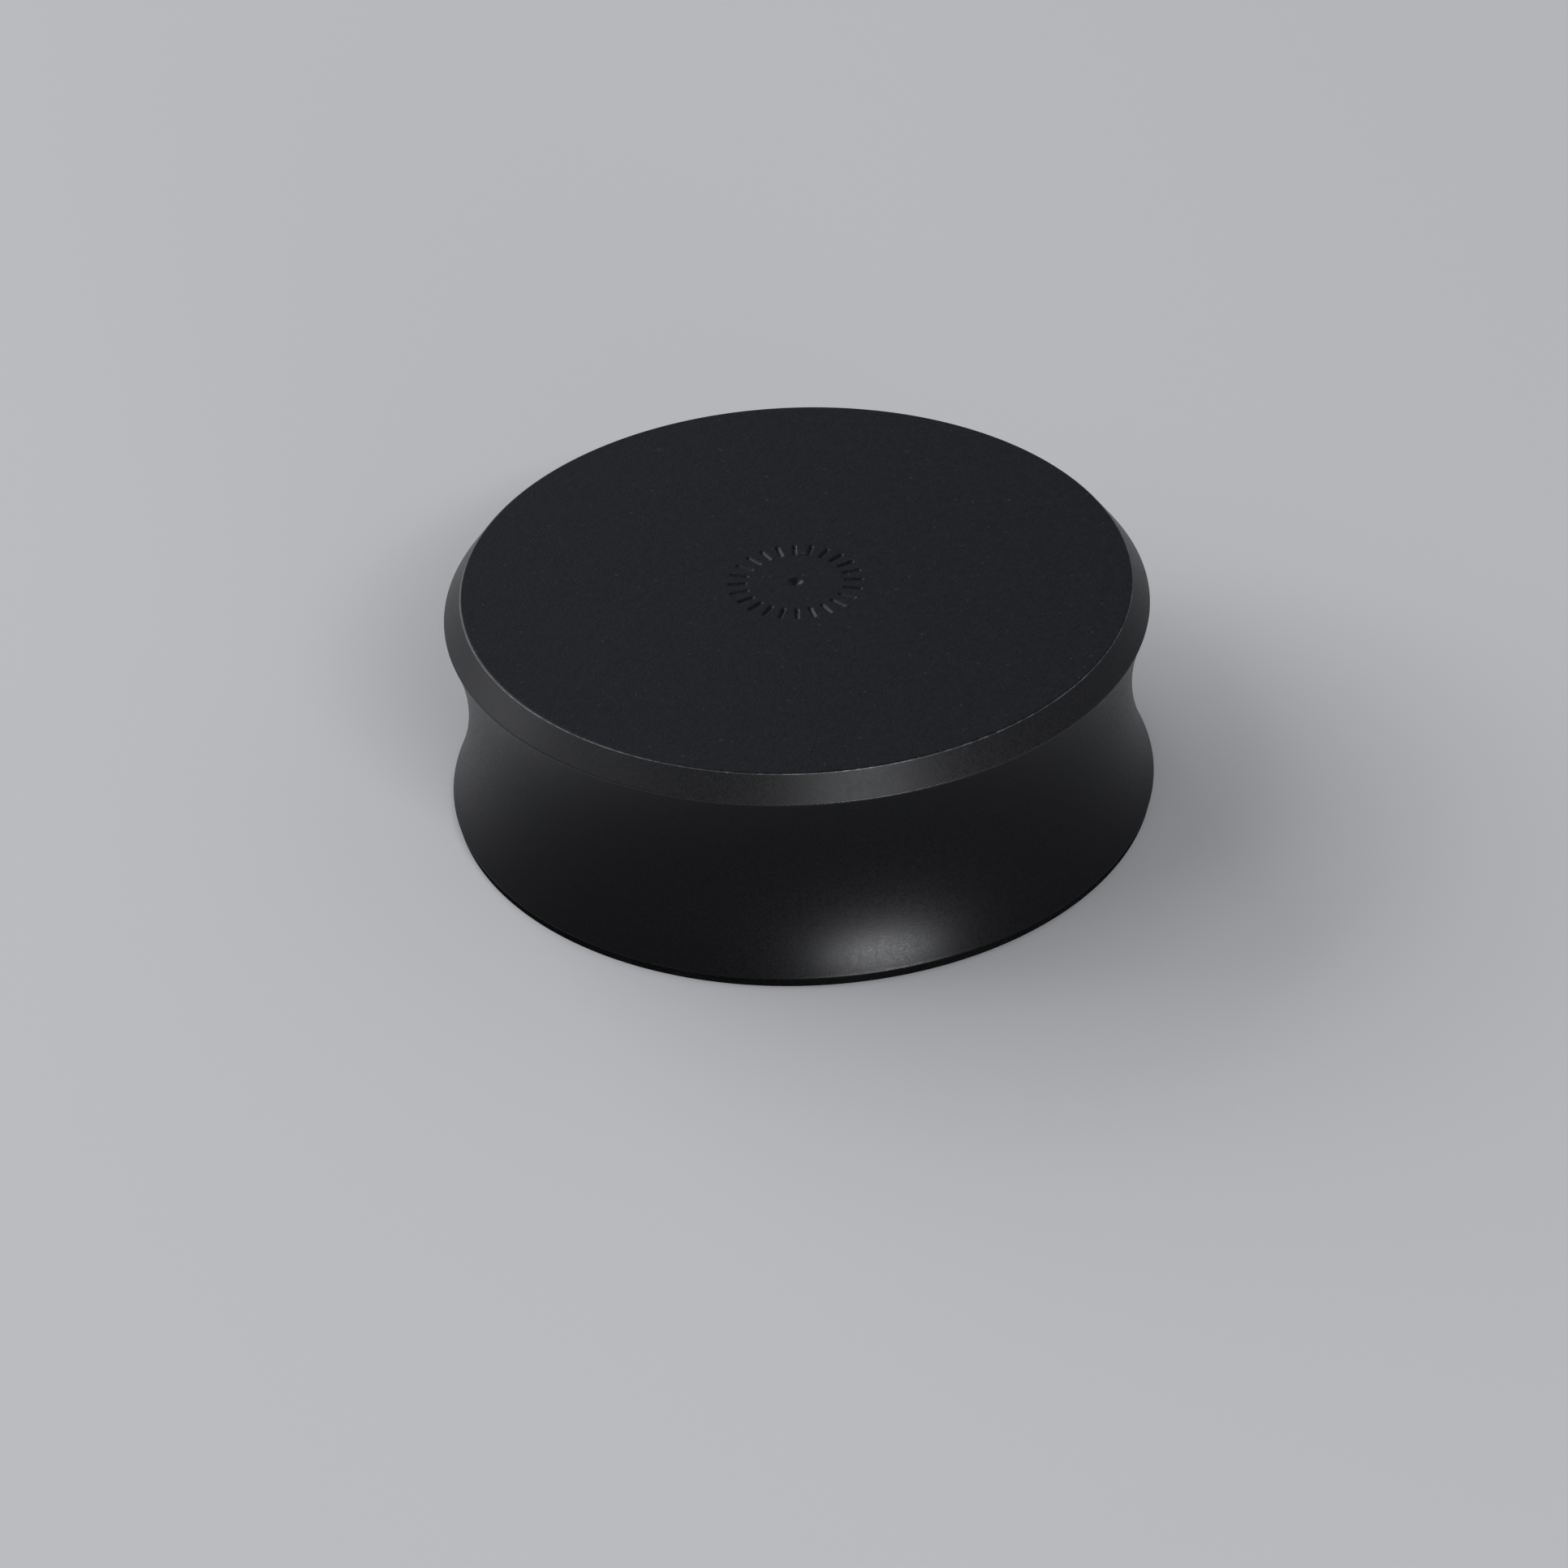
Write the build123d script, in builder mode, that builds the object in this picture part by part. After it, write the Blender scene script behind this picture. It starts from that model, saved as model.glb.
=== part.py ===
from build123d import *
import os
from math import radians, tan

# A record weight: one turned block that drops over a turntable's spindle and presses a record flat.
# Millimetres, +Z up. The spindle's axis is Z, and the pad's underside, where it stands, is Z = 0.

# The turned body
foot_diameter = 77.2  # the waist's lower corner before its edge is broken, the widest turn
body_height = 24.85
rim_inset = 0.45  # how far the rim stands back from the foot
waist_depth = 2.2  # how far the waist is hollowed in from a straight line between rim and foot
band_width = 1.95  # the band slopes in this far from the rim up to the top face
band_height = 2.7
top_edge_break = 0.12
rim_edge_break = 0.1
foot_edge_break = 0.15

# The pad bonded under the body
pad_thickness = 1.0
pad_inset = 0.3  # the foot stands this far over the pad all round
pad_hole_diameter = 14.0
pad_edge_break = 0.15

# The blind bore for the spindle, bored up from the underside
spindle_diameter = 7.2
spindle_clearance = 0.05
bore_depth = 18.0  # underside to the end of the straight wall
bore_lead_in = 1.0
drill_point_angle = 118.0

# The engraved centre mark: a ring of radial ticks round a small dimple
tick_count = 24
tick_ring_diameter = 14.8
tick_length = 2.2
tick_depth = 0.28
tick_vee_angle = 90.0
dimple_diameter = 1.6
dimple_depth = 0.5

foot_radius = foot_diameter / 2
rim_radius = foot_radius - rim_inset
top_radius = rim_radius - band_width
pad_radius = foot_radius - pad_inset
bore_radius = spindle_diameter / 2 + spindle_clearance
foot_z = pad_thickness
top_z = foot_z + body_height
bore_end_z = foot_z + bore_depth
bore_tip_z = bore_end_z + bore_radius / tan(radians(drill_point_angle / 2))
tick_half_width = tick_depth * tan(radians(tick_vee_angle / 2))
tick_inner_radius = tick_ring_diameter / 2 - tick_length

with BuildPart() as tick_cutter:
    # Vee that stands on its point, drawn out along the radius
    with BuildSketch(Plane.YZ.offset(tick_inner_radius)):
        with BuildLine():
            Polyline(
                (-tick_half_width, top_z),
                (0, top_z - tick_depth),
                (tick_half_width, top_z),
                close=True,
            )
        make_face()
    extrude(amount=tick_length)

with BuildPart() as weight_body:
    # Half section on the right of the axis, turned once round it
    with BuildSketch(Plane.XZ) as half_section:
        with BuildLine():
            top_line = Line((0, top_z), (top_radius, top_z))
            band_line = Line(top_line @ 1, (rim_radius, top_z - band_height))
            waist_arc = SagittaArc(band_line @ 1, (foot_radius, foot_z), -waist_depth)
            foot_line = Line(waist_arc @ 1, (0, foot_z))
            Line(foot_line @ 1, top_line @ 0)
        make_face()
        foot_corner = half_section.vertices().sort_by_distance(waist_arc @ 1)[0]
        chamfer(foot_corner, length=foot_edge_break)
        rim_corner = half_section.vertices().sort_by_distance(band_line @ 1)[0]
        chamfer(rim_corner, length=rim_edge_break)
        top_corner = half_section.vertices().sort_by_distance(top_line @ 1)[0]
        chamfer(top_corner, length=top_edge_break)
    revolve(axis=Axis.Z)

    # Spindle bore with a lead-in at its mouth and the cone that a drill leaves
    with BuildSketch(Plane.XZ):
        with BuildLine():
            Polyline(
                (0, foot_z),
                (bore_radius + bore_lead_in, foot_z),
                (bore_radius, foot_z + bore_lead_in),
                (bore_radius, bore_end_z),
                (0, bore_tip_z),
                close=True,
            )
        make_face()
    revolve(axis=Axis.Z, mode=Mode.SUBTRACT)

    # Ring of ticks that point at the centre
    with PolarLocations(0, tick_count):
        add(tick_cutter.part, mode=Mode.SUBTRACT)

    # Conical dimple on the axis
    with BuildSketch(Plane.XZ):
        with BuildLine():
            Polyline(
                (0, top_z - dimple_depth),
                (dimple_diameter / 2, top_z),
                (0, top_z),
                close=True,
            )
        make_face()
    revolve(axis=Axis.Z, mode=Mode.SUBTRACT)

with BuildPart() as base_pad:
    with BuildSketch():
        Circle(pad_radius)
        Circle(pad_hole_diameter / 2, mode=Mode.SUBTRACT)
    extrude(amount=pad_thickness)
    lower_edges = base_pad.faces().sort_by(Axis.Z)[0].edges()
    chamfer(lower_edges, length=pad_edge_break)

os.makedirs("parts", exist_ok=True)
weight_body.part.label = "weight_body"
export_step(weight_body.part, "parts/weight_body.step")
base_pad.part.label = "base_pad"
export_step(base_pad.part, "parts/base_pad.step")
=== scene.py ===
import math

import bpy
import numpy as np
from mathutils import Matrix, Vector


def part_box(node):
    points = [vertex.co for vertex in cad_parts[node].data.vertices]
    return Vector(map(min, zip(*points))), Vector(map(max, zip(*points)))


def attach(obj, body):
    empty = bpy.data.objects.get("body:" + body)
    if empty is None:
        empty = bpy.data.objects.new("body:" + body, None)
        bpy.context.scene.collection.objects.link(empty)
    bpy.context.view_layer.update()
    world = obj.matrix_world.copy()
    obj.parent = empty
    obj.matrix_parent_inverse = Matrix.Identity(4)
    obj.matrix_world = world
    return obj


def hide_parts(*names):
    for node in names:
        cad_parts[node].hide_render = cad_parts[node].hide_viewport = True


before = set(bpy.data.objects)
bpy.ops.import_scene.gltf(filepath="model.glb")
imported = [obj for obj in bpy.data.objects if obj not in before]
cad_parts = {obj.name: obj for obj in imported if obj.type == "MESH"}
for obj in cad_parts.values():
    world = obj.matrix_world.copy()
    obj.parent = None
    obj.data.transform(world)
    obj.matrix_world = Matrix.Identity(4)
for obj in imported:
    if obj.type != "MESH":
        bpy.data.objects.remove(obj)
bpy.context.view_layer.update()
mm = 0.001
print("frame read:", sorted(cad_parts))


# Outlines are rows of (radius, height) in metres
def foldedCorner(before, corner, after, reach, rows):
    # Small parabola in place of a sharp corner: it leaves each leg at reach from the corner,
    # point = (1-t)^2 start + 2t(1-t) corner + t^2 end
    towards = np.array([before, after]) - corner
    ends = corner + reach * towards / np.linalg.norm(towards, axis=1)[:, None]
    t = np.linspace(0, 1, rows)[:, None]
    return (1 - t) ** 2 * ends[0] + 2 * t * (1 - t) * corner + t ** 2 * ends[1]


def hollowArc(start, end, depth, shares):
    # Circle arc from start to end, drawn in towards the axis by depth at its middle:
    # radius = (chord^2/4 + depth^2) / (2 depth), and the angle runs evenly over the shares
    chord = end - start
    length = np.linalg.norm(chord)
    radius = (length ** 2 / 4 + depth ** 2) / (2 * depth)
    outward = np.array([-chord[1], chord[0]]) / length
    centre = (start + end) / 2 + outward * (radius - depth)
    half = math.asin(length / 2 / radius)
    angle = (2 * np.asarray(shares) - 1)[:, None] * half
    return centre + radius * (np.sin(angle) * chord / length - np.cos(angle) * outward)


def turnedMesh(name, profile, finishes, around, closed=False, heights=None):
    # Surface of two parameters: point = (radius_i cos angle_j, radius_i sin angle_j, level_i), row i of
    # the profile carried round Z to column j. heights(x, y, z) is added to the level. finishes gives each
    # row the number of the finish on the faces between it and the next row.
    angle = np.linspace(0, 2 * math.pi, around, endpoint=False)
    radius, level = profile[:, 0, None], profile[:, 1, None]
    x, y = radius * np.cos(angle), radius * np.sin(angle)
    z = level + np.zeros_like(x)
    if heights is not None:
        z = z + heights(x, y, z)
    points = np.stack([x, y, z], axis=-1).reshape(-1, 3)
    index = np.arange(len(points)).reshape(-1, around)
    atAxis = profile[:, 0] == 0
    index[atAxis] = index[atAxis][:, :1]
    if closed:
        index = np.vstack([index, index[:1]])
    beside = np.roll(index, -1, axis=1)
    quads = np.stack([index[:-1], index[1:], beside[1:], beside[:-1]], axis=-1).reshape(-1, 4)

    # A corner doubled at the axis goes, which leaves a triangle, and so does a point that no face uses
    kept = quads != np.roll(quads, 1, axis=1)
    used, corners = np.unique(quads[kept], return_inverse=True)
    sides = kept.sum(axis=1)
    mesh = bpy.data.meshes.new(name)
    mesh.vertices.add(len(used))
    mesh.vertices.foreach_set("co", points[used].ravel())
    mesh.loops.add(len(corners))
    mesh.loops.foreach_set("vertex_index", corners.ravel().astype(np.int32))
    mesh.polygons.add(len(quads))
    mesh.polygons.foreach_set("loop_start", (np.cumsum(sides) - sides).astype(np.int32))
    finishOf = np.repeat(finishes[: len(index) - 1], around)
    mesh.polygons.foreach_set("material_index", finishOf.astype(np.int32))
    mesh.polygons.foreach_set("use_smooth", np.ones(len(quads), bool))
    mesh.update(calc_edges=True)
    mesh.validate()
    piece = bpy.data.objects.new(name, mesh)
    bpy.context.scene.collection.objects.link(piece)
    return piece


# Where almost all values of Blender's noise lie, and how far a sum of grain and clouds strays from
# its own middle
noiseLow, noiseMiddle, noiseHigh = 0.3, 0.5, 0.7
sumReach = 0.25
noiseDetail = 2  # layers of finer noise in each noise


def newFinish(name, look):
    # Plain shader with the look's own numbers, and the place on the piece that its patterns are read from
    material = bpy.data.materials.new(name)
    material.use_nodes = True
    nodes, links = material.node_tree.nodes, material.node_tree.links
    shader = nodes["Principled BSDF"]
    shader.inputs["Base Color"].default_value = (*look["colour"], 1)
    shader.inputs["Roughness"].default_value = look["roughness"]
    shader.inputs["Specular IOR Level"].default_value = look["specular"]
    place = nodes.new("ShaderNodeTexCoord").outputs["Object"]
    return material, nodes, links, shader, place


def addNoise(nodes, links, place, size, detail=noiseDetail):
    # Noise with blotches of the given size in metres
    noise = nodes.new("ShaderNodeTexNoise")
    noise.inputs["Scale"].default_value = 1 / size
    noise.inputs["Detail"].default_value = detail
    links.new(place, noise.inputs["Vector"])
    return noise.outputs["Fac"]


def addRange(nodes, links, value, fromLow, fromHigh, low, high):
    # Straight line through (fromLow, low) and (fromHigh, high), held level outside them;
    # high may be a pattern
    line = nodes.new("ShaderNodeMapRange")
    for key, end in zip(("From Min", "From Max", "To Min", "To Max"), (fromLow, fromHigh, low, high)):
        if isinstance(end, bpy.types.NodeSocket):
            links.new(end, line.inputs[key])
        else:
            line.inputs[key].default_value = end
    links.new(value, line.inputs["Value"])
    return line.outputs["Result"]


def addSum(nodes, links, first, share, second):
    # first * share + second
    total = nodes.new("ShaderNodeMath")
    total.operation = "MULTIPLY_ADD"
    total.inputs[1].default_value = share
    links.new(first, total.inputs[0])
    links.new(second, total.inputs[2])
    return total.outputs["Value"]


def addGrain(nodes, links, place, look):
    # Fine grain, then clouds * their share + the grain, and the two values that this sum runs between
    grain = addNoise(nodes, links, place, look["grainSize"])
    clouds = addNoise(nodes, links, place, look["cloudSize"])
    mixed = addSum(nodes, links, clouds, look["cloudShare"], grain)
    middle = noiseMiddle * (1 + look["cloudShare"])
    return grain, mixed, (middle - sumReach, middle + sumReach)


def addTint(nodes, links, value, stops, shader):
    # Base colour that runs straight from each (position, colour) to the next
    ramp = nodes.new("ShaderNodeValToRGB")
    while len(ramp.color_ramp.elements) < len(stops):
        ramp.color_ramp.elements.new(1)
    for stop, (position, colour) in zip(ramp.color_ramp.elements, stops):
        stop.position = position
        stop.color = (*colour, 1)
    links.new(value, ramp.inputs["Fac"])
    links.new(ramp.outputs["Color"], shader.inputs["Base Color"])


def addBump(nodes, links, value, height, shader):
    # Surface pushed in and out by the value times the height in metres
    bump = nodes.new("ShaderNodeBump")
    bump.inputs["Distance"].default_value = height
    links.new(value, bump.inputs["Height"])
    links.new(bump.outputs["Normal"], shader.inputs["Normal"])


def shades(look):
    # The look's colour, darker and lighter by its speckle share
    return [[c * (1 + side * look["speckle"]) for c in look["colour"]] for side in (-1, 1)]


def roughnessEnds(look):
    # The look's roughness less and plus its swing
    return look["roughness"] - look["roughnessSwing"], look["roughness"] + look["roughnessSwing"]


def makeGrained(name, look):
    # Blasted metal or moulded rubber. The sum of grain and clouds runs the colour from dark to light and
    # the roughness over its swing; rare noise peaks are pale specks; the bump adds pits to the sum.
    material, nodes, links, shader, place = newFinish(name, look)
    _, mixed, mixedEnds = addGrain(nodes, links, place, look)
    lightStop = 0.8  # the colour runs dark to light up to here, and the specks take it to their own
    shade = addRange(nodes, links, mixed, *mixedEnds, 0, lightStop)
    peaks = addNoise(nodes, links, place, look["speckSize"], detail=0)
    specks = addRange(nodes, links, peaks, *look["speckPeaks"], 0, 1)
    dark, light = shades(look)
    stops = [(0, dark), (lightStop, light), (1, look["speckColour"])]
    addTint(nodes, links, addSum(nodes, links, specks, 1, shade), stops, shader)
    gloss = addRange(nodes, links, mixed, *mixedEnds, *roughnessEnds(look))
    if "cutRoughness" in look:
        # Walls of the engraving lie below the face and are cut smoother than it is blasted
        split = nodes.new("ShaderNodeSeparateXYZ")
        links.new(place, split.inputs["Vector"])
        cutTop, cutEnd = [topLevel - depth for depth in look["cutDepths"]]
        gloss = addRange(nodes, links, split.outputs["Z"], cutEnd, cutTop, look["cutRoughness"], gloss)
    links.new(gloss, shader.inputs["Roughness"])
    pits = nodes.new("ShaderNodeTexVoronoi")
    pits.inputs["Scale"].default_value = 1 / look["pitSize"]
    links.new(place, pits.inputs["Vector"])
    relief = addSum(nodes, links, pits.outputs["Distance"], look["pitShare"], mixed)
    addBump(nodes, links, relief, look["bumpHeight"], shader)
    return material


def makeWornAndGlint(name, look):
    # Edge in broken dashes of rubbed wear and painted glint: noise stretched past its middle picks the
    # lighter bare colour or the full colour
    material, nodes, links, shader, place = newFinish(name, look)
    dashes = addNoise(nodes, links, place, look["dashSize"], detail=3)
    first, last = look["dashesBetween"]
    addTint(nodes, links, dashes, [(first, look["colour"]), (last, look["bareAndGlintColour"])], shader)
    gloss = addRange(nodes, links, dashes, first, last, look["roughness"], look["bareRoughness"])
    links.new(gloss, shader.inputs["Roughness"])
    fine = addNoise(nodes, links, place, look["grainSize"])
    addBump(nodes, links, fine, look["bumpHeight"], shader)
    return material


def makeTurned(name, look):
    # Tool marks: noise read along one line, which is the height on a wall and the radius on a flat
    # face. The bump is marks * their share + grain, the grain runs the colour from dark to light, and
    # the sum of grain and clouds runs the roughness.
    material, nodes, links, shader, place = newFinish(name, look)
    split = nodes.new("ShaderNodeSeparateXYZ")
    links.new(place, split.inputs["Vector"])
    way = split.outputs["Z"]
    if look["marksByRadius"]:
        flat = nodes.new("ShaderNodeCombineXYZ")
        links.new(split.outputs["X"], flat.inputs["X"])
        links.new(split.outputs["Y"], flat.inputs["Y"])
        length = nodes.new("ShaderNodeVectorMath")
        length.operation = "LENGTH"
        links.new(flat.outputs["Vector"], length.inputs[0])
        way = length.outputs["Value"]
    marks = nodes.new("ShaderNodeTexNoise")
    marks.noise_dimensions = "1D"
    marks.inputs["Scale"].default_value = 1 / look["markPitch"]
    marks.inputs["Detail"].default_value = noiseDetail
    links.new(way, marks.inputs["W"])
    grain, mixed, mixedEnds = addGrain(nodes, links, place, look)
    dark, light = shades(look)
    addTint(nodes, links, grain, [(noiseLow, dark), (noiseHigh, light)], shader)
    gloss = addRange(nodes, links, mixed, *mixedEnds, *roughnessEnds(look))
    links.new(gloss, shader.inputs["Roughness"])
    relief = addSum(nodes, links, marks.outputs["Fac"], look["markShare"], grain)
    addBump(nodes, links, relief, look["bumpHeight"], shader)
    return material


# The turned body: flat top with an engraved mark, sloping band, hollow waist, foot, and the bore for
# the spindle. Sizes are metres. A finish's colour and roughness are the middle of its pattern's swing.
turnedBody = {
    "footRadius": 38.60 * mm,  # corner before its edge is broken
    "rimInset": 0.45 * mm,  # rim stands back from the foot
    "bandWidth": 1.95 * mm,
    "bandHeight": 2.70 * mm,
    "waistDepth": 2.20 * mm,
    "topEdge": 0.12 * mm,
    "rimEdge": 0.10 * mm,
    "footEdge": 0.25 * mm,
    "cornerSoftness": 0.03 * mm,
    "boreRadius": 3.65 * mm,
    "boreDepth": 18.0 * mm,
    "boreLeadIn": 1.0 * mm,
    "drillPointAngle": math.radians(118),
    "around": 576,  # faces in one turn
    "waistRows": 40,
    "foldRows": (5, 7, 4),  # in a fold at the top's edge, at the rim or foot, and at the bore
    "topRows": (14, 42, 5),  # over the dimple, over the ring of ticks, and outside it
    # How far close rows run on past the dimple, and on each side of the ticks, and then the gap out to
    # the rows of the plain face
    "topMargins": (0.48 * mm, 0.3 * mm, 4 * mm),
    "mark": {
        "tickCount": 24,
        "ringRadius": 7.4 * mm,
        "tickLength": 2.2 * mm,
        "tickDepth": 0.28 * mm,
        "tickHalfWidth": 0.28 * mm,
        "lipSoftness": 0.10,
        "lipReach": 1.5,  # half widths past the cut's edge at which the lip's rounding ends
        "dimpleRadius": 0.8 * mm,
        "dimpleDepth": 0.5 * mm,
    },
    "finishes": {
        "blastedTop": {
            "colour": (0.0044, 0.0050, 0.0076),
            "speckColour": (0.020, 0.023, 0.029),
            "roughness": 0.58,
            "roughnessSwing": 0.09,
            "cutRoughness": 0.32,
            "cutDepths": (0.01 * mm, 0.05 * mm),
            "specular": 0.165,
            "grainSize": 0.26 * mm,
            "pitSize": 0.34 * mm,
            "pitShare": 0.6,
            "speckSize": 0.5 * mm,
            "speckPeaks": (0.80, 0.85),  # noise from here to here turns into a speck
            "cloudSize": 0.9 * mm,
            "cloudShare": 0.7,
            "speckle": 0.60,
            "bumpHeight": 0.026 * mm,
        },
        # Top edge: rubbed wear, with its lighter bare colour also a painted glint along the edge
        "wornTopEdgeWithGlint": {
            "colour": (0.010, 0.010, 0.011),
            "bareAndGlintColour": (0.05, 0.05, 0.05),
            "roughness": 0.40,
            "bareRoughness": 0.28,
            "specular": 0.5,
            "dashSize": 0.9 * mm,
            "dashesBetween": (0.42, 0.62),
            "grainSize": 0.2 * mm,
            "bumpHeight": 0.01 * mm,
        },
        "satinBand": {
            "colour": (0.0045, 0.0045, 0.0050),
            "roughness": 0.375,
            "roughnessSwing": 0.03,
            "specular": 0.22,
            "speckle": 0.4,
            "marksByRadius": False,
            "markPitch": 0.12 * mm,
            "markShare": 0.5,
            "grainSize": 0.25 * mm,
            "cloudSize": 0.8 * mm,
            "cloudShare": 0.8,
            "bumpHeight": 0.006 * mm,
        },
        "satinWaist": {
            "colour": (0.0025, 0.0025, 0.0029),
            "roughness": 0.325,
            "roughnessSwing": 0.04,
            "specular": 0.088,
            "speckle": 0.3,
            "marksByRadius": False,
            "markPitch": 0.10 * mm,
            "markShare": 0.3,
            "grainSize": 0.26 * mm,
            "cloudSize": 0.6 * mm,
            "cloudShare": 0.7,
            "bumpHeight": 0.0055 * mm,
        },
        "turnedUnderside": {
            "colour": (0.0060, 0.0060, 0.0068),
            "roughness": 0.38,
            "roughnessSwing": 0.05,
            "specular": 0.30,
            "speckle": 0.3,
            "marksByRadius": True,
            "markPitch": 0.16 * mm,
            "markShare": 2.5,
            "grainSize": 0.2 * mm,
            "cloudSize": 5 * mm,
            "cloudShare": 1.0,
            "bumpHeight": 0.004 * mm,
        },
    },
}
footLevel, topLevel = [corner.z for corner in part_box("weight_body")]


def engraving(x, y, z):
    # Depth = full depth times (1 - distance to the nearest tick's centre line / half its width),
    # with the lip rounded by a hyperbola; the dimple is a cone of the same kind about the axis
    m = turnedBody["mark"]
    radius = np.hypot(x, y)
    sector = 2 * math.pi / m["tickCount"]
    turn = (np.arctan2(y, x) + sector / 2) % sector - sector / 2
    along, across = radius * np.cos(turn), radius * np.sin(turn)
    inner = m["ringRadius"] - m["tickLength"] + m["tickHalfWidth"]
    outer = m["ringRadius"] - m["tickHalfWidth"]
    distance = np.hypot(along - np.clip(along, inner, outer), across)

    def groove(share):
        # Half of (share + root of (share^2 + softness^2)), and nothing past the lip's reach
        rounded = (share + np.sqrt(share ** 2 + m["lipSoftness"] ** 2)) / 2
        return np.where(share > -m["lipReach"], rounded, 0)

    depth = m["tickDepth"] * groove(1 - distance / m["tickHalfWidth"])
    depth = depth + m["dimpleDepth"] * groove(1 - radius / m["dimpleRadius"])
    return np.where(np.isclose(z, topLevel), -depth, 0)


def makeBody():
    # Half outline from the middle of the top face round to the bore's tip, turned once round Z.
    # It is straight runs, the hollow arc and folded corners, in stretches named for their finish.
    s = turnedBody
    rimRadius = s["footRadius"] - s["rimInset"]
    topRadius = rimRadius - s["bandWidth"]
    topCorner = np.array([topRadius, topLevel])
    rimCorner = np.array([rimRadius, topLevel - s["bandHeight"]])
    footCorner = np.array([s["footRadius"], footLevel])
    bandWay = (rimCorner - topCorner) / np.linalg.norm(rimCorner - topCorner)
    edgeStart = topCorner - [s["topEdge"], 0]
    edgeEnd = topCorner + bandWay * s["topEdge"]

    # Runs start and end this far from their corners, a little outside the folds
    soft = s["cornerSoftness"]
    clear = 3 * soft
    rimClear = 2 * s["rimEdge"]
    footClear = 2 * s["footEdge"]
    arcLength = np.linalg.norm(rimCorner - footCorner)
    shares = np.linspace(rimClear / arcLength, 1 - footClear / arcLength, s["waistRows"])
    waist = hollowArc(rimCorner, footCorner, s["waistDepth"], shares)

    mouth = s["boreRadius"] + s["boreLeadIn"]
    wallTop = footLevel + s["boreDepth"]
    tip = wallTop + s["boreRadius"] / math.tan(s["drillPointAngle"] / 2)
    mouthCorner = np.array([mouth, footLevel])
    leadCorner = np.array([s["boreRadius"], footLevel + s["boreLeadIn"]])
    wallCorner = np.array([s["boreRadius"], wallTop])
    axisTip = np.array([0, tip])

    # Rows of the top face are close together where the mark is cut
    m = s["mark"]
    dimpleRows, tickRows, plainRows = s["topRows"]
    dimpleMargin, tickMargin, plainMargin = s["topMargins"]
    tickStart = m["ringRadius"] - m["tickLength"] - tickMargin
    tickEnd = m["ringRadius"] + tickMargin
    plainEnd = edgeStart[0] - soft - clear
    topRadii = np.concatenate([
        np.linspace(0, m["dimpleRadius"] + dimpleMargin, dimpleRows),
        np.linspace(tickStart, tickEnd, tickRows),
        np.linspace(tickEnd + plainMargin, plainEnd, plainRows),
    ])
    topFold, waistFold, boreFold = s["foldRows"]
    stretches = [
        ("blastedTop", np.stack([topRadii, np.full_like(topRadii, topLevel)], axis=1)),
        ("blastedTop", foldedCorner([0, topLevel], edgeStart, edgeEnd, soft, topFold)),
        ("wornTopEdgeWithGlint", foldedCorner(edgeStart, edgeEnd, rimCorner, soft, topFold)),
        ("satinBand", edgeEnd + np.outer([clear], bandWay)),
        ("satinBand", rimCorner - np.outer([rimClear], bandWay)),
        ("satinBand", foldedCorner(topCorner, rimCorner, waist[0], s["rimEdge"], waistFold)),
        ("satinWaist", waist),
        ("satinWaist", foldedCorner(waist[-1], footCorner, [0, footLevel], s["footEdge"], waistFold)),
        ("turnedUnderside", footCorner - [[footClear, 0]]),
        ("turnedUnderside", mouthCorner + [[clear, 0]]),
        ("turnedUnderside", foldedCorner(footCorner, mouthCorner, leadCorner, soft, boreFold)),
        ("turnedUnderside", foldedCorner(mouthCorner, leadCorner, wallCorner, soft, boreFold)),
        ("turnedUnderside", leadCorner + [[0, clear]]),
        ("turnedUnderside", wallCorner - [[0, clear]]),
        ("turnedUnderside", foldedCorner(leadCorner, wallCorner, axisTip, soft, boreFold)),
        ("turnedUnderside", axisTip[None]),
    ]
    order = list(s["finishes"])
    profile = np.concatenate([rows for _, rows in stretches])
    finishes = np.concatenate([np.full(len(rows), order.index(name)) for name, rows in stretches])
    return turnedMesh("weight_body_turned", profile, finishes, s["around"], heights=engraving)


body = makeBody()
makers = (makeGrained, makeWornAndGlint, makeTurned, makeTurned, makeTurned)  # in the order of the finishes
for make, (name, look) in zip(makers, turnedBody["finishes"].items()):
    body.data.materials.append(make(name, look))
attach(body, "root")
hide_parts("weight_body")
print("body made:", len(body.data.polygons), "faces")


# The pad bonded under the body: a flat ring with slightly rounded edges
bondedPad = {
    "inset": 0.30 * mm,  # the foot stands this far over the pad
    "holeRadius": 7.0 * mm,
    "edge": 0.15 * mm,
    "upperEdge": 0.02 * mm,
    "around": 384,  # faces in one turn
    "foldRows": 6,
    "foldMargin": 0.03 * mm,  # from a fold to the row beside it
    "finish": {
        # Colour and speck colour: black rubber, darkened past real rubber as painted shade of the crevice
        # under the foot's edge
        "colour": (0.0018, 0.0018, 0.0020),
        "speckColour": (0.004, 0.004, 0.004),
        "roughness": 0.72,
        "roughnessSwing": 0.10,
        "specular": 0.02,
        "grainSize": 0.3 * mm,
        "pitSize": 0.4 * mm,
        "pitShare": 0.6,
        "speckSize": 0.6 * mm,
        "speckPeaks": (0.80, 0.85),
        "cloudSize": 5 * mm,
        "cloudShare": 0.6,
        "speckle": 0.6,
        "bumpHeight": 0.05 * mm,
    },
}


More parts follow.
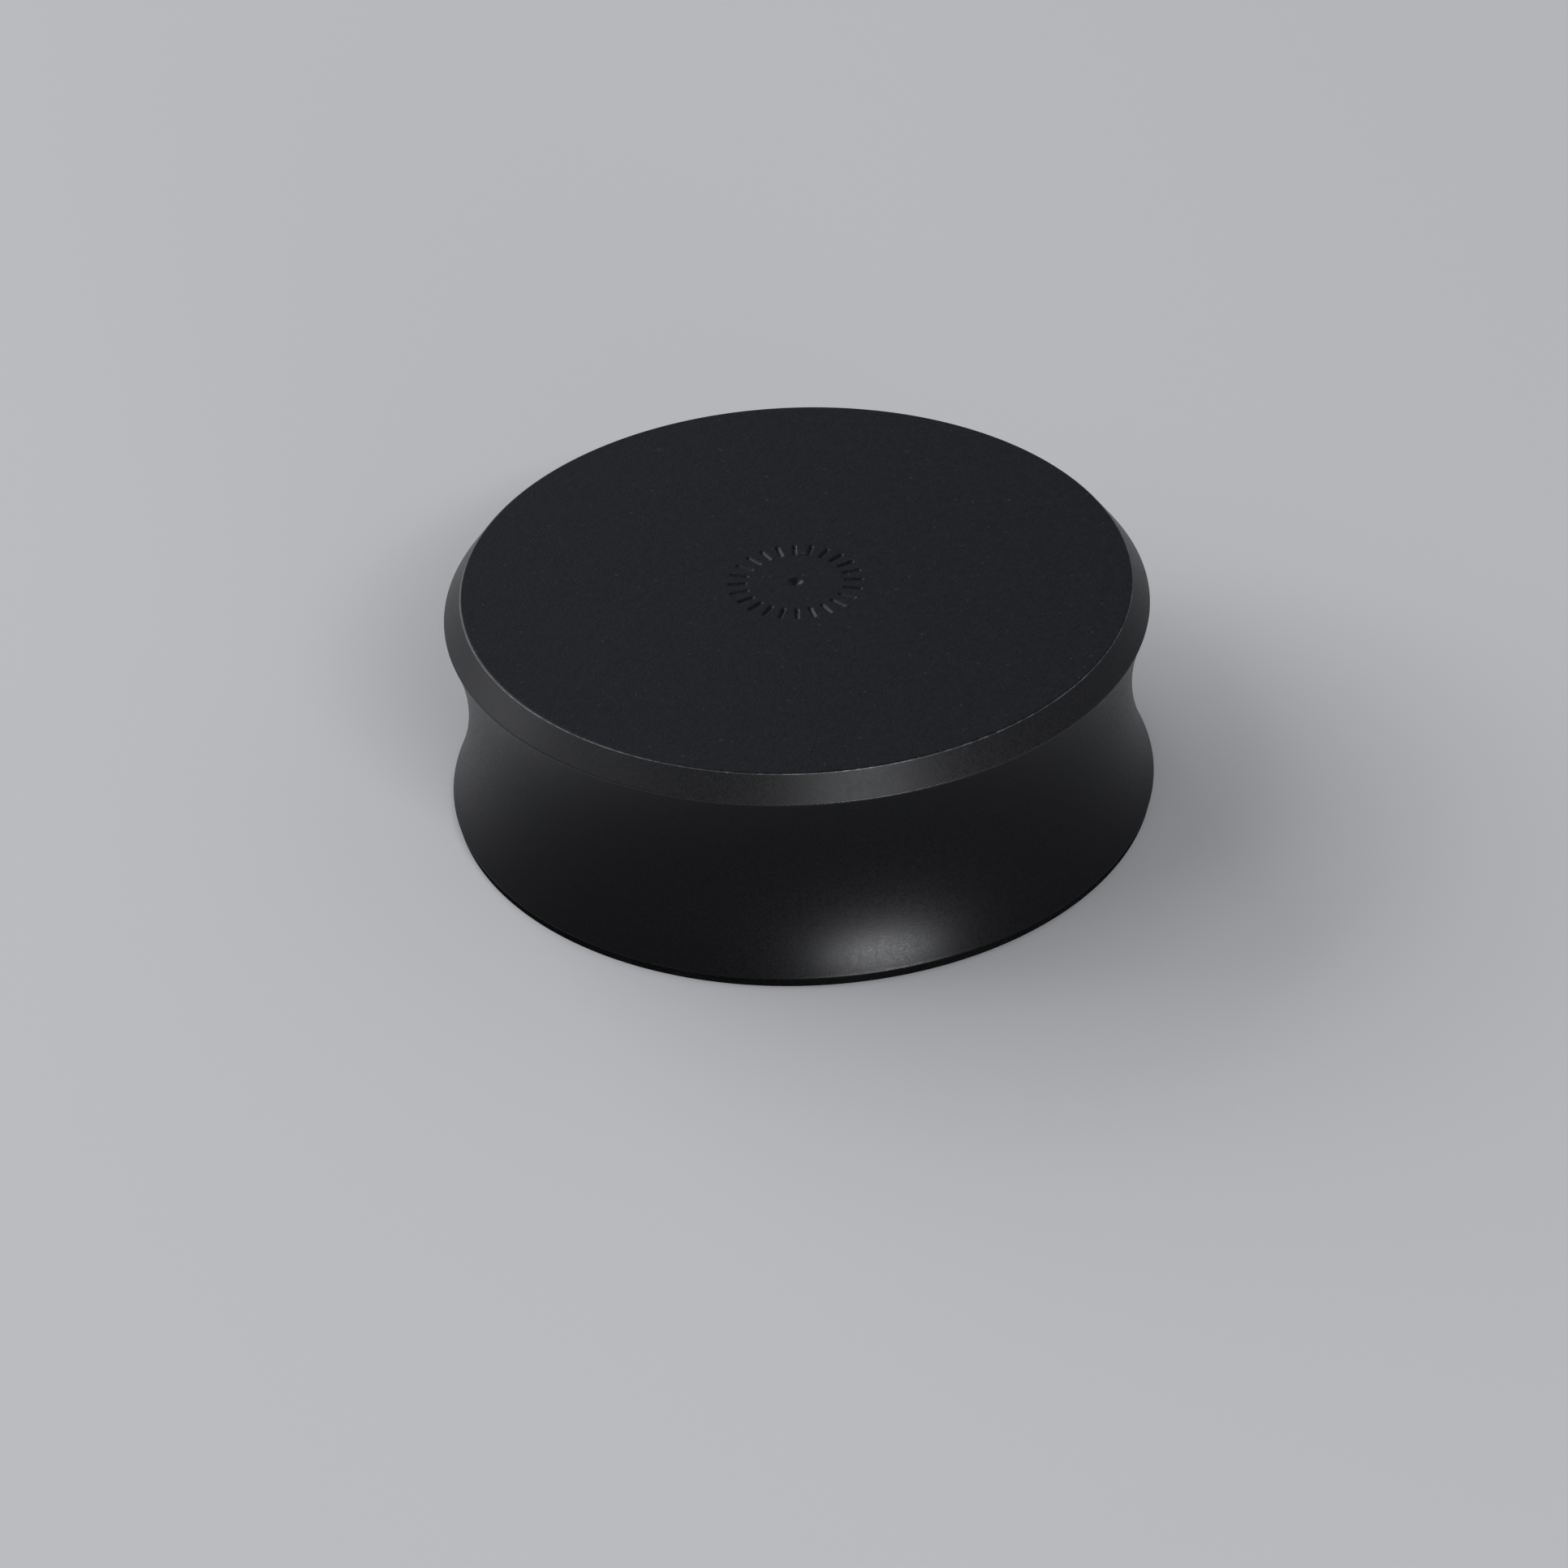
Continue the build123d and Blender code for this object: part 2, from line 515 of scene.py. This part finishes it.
def makePad():
    # Closed outline of the ring's cross-section, a rectangle with four folded corners, turned once
    # round Z. A row at the margin past each fold keeps the flat stretches flat in the shading.
    s = bondedPad
    bottom, top = [corner.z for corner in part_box("base_pad")]
    inner, outer = s["holeRadius"], turnedBody["footRadius"] - s["inset"]
    corners = np.array([[outer, top], [outer, bottom], [inner, bottom], [inner, top]])
    befores, afters = np.roll(corners, 1, axis=0), np.roll(corners, -1, axis=0)
    reaches = [s["upperEdge"], s["edge"], s["edge"], s["upperEdge"]]
    folds = [
        foldedCorner(before, corner, after, reach, s["foldRows"])
        for before, corner, after, reach in zip(befores, corners, afters, reaches)
    ]
    rows = []
    for fold, following in zip(folds, folds[1:] + folds[:1]):
        run = following[0] - fold[-1]
        step = s["foldMargin"] * (run / np.linalg.norm(run))
        rows += [fold, fold[-1:] + step, following[:1] - step]
    profile = np.concatenate(rows)
    return turnedMesh("base_pad_ring", profile, np.zeros(len(profile), int), s["around"], closed=True)


pad = makePad()
# Matt rubber whose colour also carries painted shade under the foot
pad.data.materials.append(makeGrained("mattRubberWithPaintedShade", bondedPad["finish"]))
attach(pad, "root")
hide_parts("base_pad")
print("pad made:", len(pad.data.polygons), "faces")


# Floor, lamps, world and camera. Angles are degrees, and azimuth turns from the front towards +X.
studio = {
    "floorSize": 6.0,
    "floor": {"colour": (0.58, 0.58, 0.59), "roughness": 0.9, "specular": 0.0},
    "worldColour": (0.92, 0.95, 1.0),
    "worldStrength": 0.30,
    "lampColour": (0.97, 0.98, 1.0),
    # Each lamp: azimuth, elevation, distance, width, height, power in watts, and spread, the angle
    # that its light stays within
    "lamps": {
        "frontStrip": (21, 1.04, 2.2, 1.42, 0.04, 4.4, 38),
        "frontHigh": (19, 37.3, 1.76, 0.76, 0.20, 8.8, 180),
        "left": (-125, 26.7, 1.76, 2.24, 1.12, 22, 180),
        "fill": (-79, 45, 2.1, 1.45, 1.45, 9.1, 180),
    },
    "camera": {
        "aim": (-2.18 * mm, -0.88 * mm, 0),
        "azimuth": 0.225,
        "elevation": 34.76,
        "roll": 2.44,
        "distance": 674.8 * mm,
        "lens": 140.75,
        "clipStart": 10 * mm,
    },
}


def direction(azimuth, elevation):
    # Unit vector = (sin a cos e, -cos a cos e, sin e)
    a, e = math.radians(azimuth), math.radians(elevation)
    return Vector((math.sin(a) * math.cos(e), -math.cos(a) * math.cos(e), math.sin(e)))


def makeFloor():
    # Square at Z = 0, with its sides at half the floor's size from the middle
    half = studio["floorSize"] / 2
    mesh = bpy.data.meshes.new("floor")
    corners = [(-half, -half, 0), (half, -half, 0), (half, half, 0), (-half, half, 0)]
    mesh.from_pydata(corners, [], [(0, 1, 2, 3)])
    floor = bpy.data.objects.new("floor", mesh)
    bpy.context.scene.collection.objects.link(floor)
    mesh.materials.append(newFinish("paleFloor", studio["floor"])[0])


def makeLamps():
    # Each lamp stands at its direction times its distance, and faces the middle of the floor
    for name, (azimuth, elevation, distance, width, height, power, spread) in studio["lamps"].items():
        light = bpy.data.lights.new(name, "AREA")
        light.shape = "RECTANGLE"
        light.size, light.size_y = width, height
        light.color = studio["lampColour"]
        light.energy = power
        light.spread = math.radians(spread)
        lamp = bpy.data.objects.new(name, light)
        way = direction(azimuth, elevation)
        facing = way.to_track_quat("Z", "Y").to_matrix().to_4x4()
        lamp.matrix_world = Matrix.Translation(way * distance) @ facing
        lamp.visible_camera = False
        bpy.context.scene.collection.objects.link(lamp)


def makeWorld():
    # One even colour from all sides
    world = bpy.data.worlds.new("studio")
    world.use_nodes = True
    background = world.node_tree.nodes["Background"]
    background.inputs["Color"].default_value = (*studio["worldColour"], 1)
    background.inputs["Strength"].default_value = studio["worldStrength"]
    bpy.context.scene.world = world


def makeCamera():
    # Stands at its aim plus its direction times its distance, faces the aim, and is turned by its roll
    c = studio["camera"]
    way = direction(c["azimuth"], c["elevation"])
    facing = way.to_track_quat("Z", "Y").to_matrix().to_4x4()
    turn = facing @ Matrix.Rotation(-math.radians(c["roll"]), 4, "Z")
    camera = bpy.data.objects.new("camera", bpy.data.cameras.new("camera"))
    camera.data.lens = c["lens"]
    camera.data.clip_start = c["clipStart"]
    camera.matrix_world = Matrix.Translation(Vector(c["aim"]) + way * c["distance"]) @ turn
    bpy.context.scene.collection.objects.link(camera)
    bpy.context.scene.camera = camera


makeFloor()
makeLamps()
makeWorld()
makeCamera()
bpy.context.scene.view_settings.view_transform = "Standard"
print("stage set")
